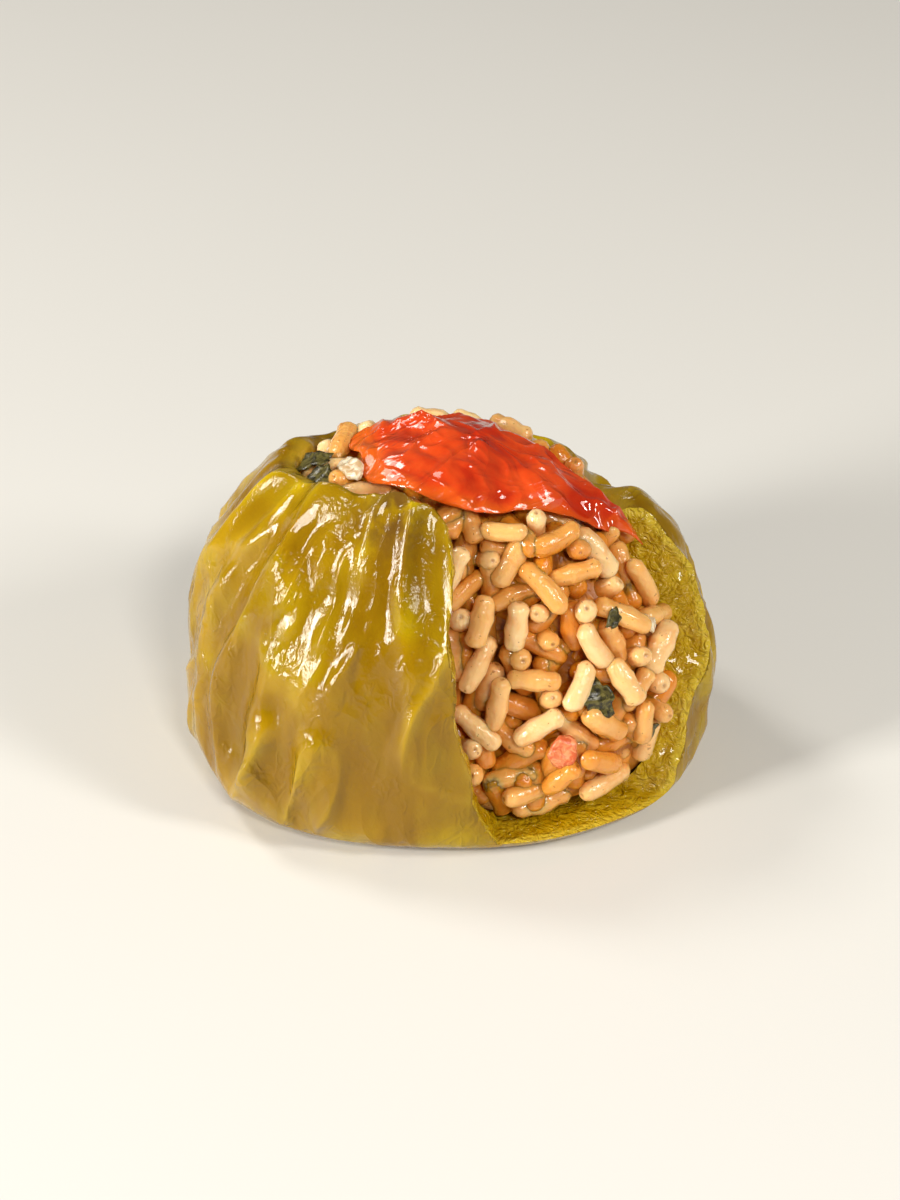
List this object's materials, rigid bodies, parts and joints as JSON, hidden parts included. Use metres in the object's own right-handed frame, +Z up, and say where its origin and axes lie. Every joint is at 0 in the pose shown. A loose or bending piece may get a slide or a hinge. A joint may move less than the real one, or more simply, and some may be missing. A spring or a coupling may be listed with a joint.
{
  "type": "stuffed bell pepper",
  "caption": "Whole roasted bell pepper stuffed with seasoned rice, cut open at the front to show the filling, with a wrinkled tomato slice on top.",
  "frame": {"origin": "middle of the underside of the pepper's box, on the surface it rests on", "axes": "+Z up through the mouth, +X to the right along the longest side, -Y towards the side with the cut-out window"},
  "size_m": [0.088, 0.073, 0.0602],
  "materials": {
    "pepper_skin": "cooked pepper skin, yellow-olive, oily gloss over long soft folds, wet flesh on the cut faces",
    "cooked_rice": "plump cooked rice grains in oil and tomato, cream to orange, moist sheen, flakes of herb",
    "tomato_skin": "baked tomato, red wrinkled skin with wet gloss, orange towards its edge"
  },
  "bodies": {
    "root": {"pepper_shell": "pepper_skin", "rice_filling": "cooked_rice", "tomato_slice": "tomato_skin"}
  },
  "joints": []
}
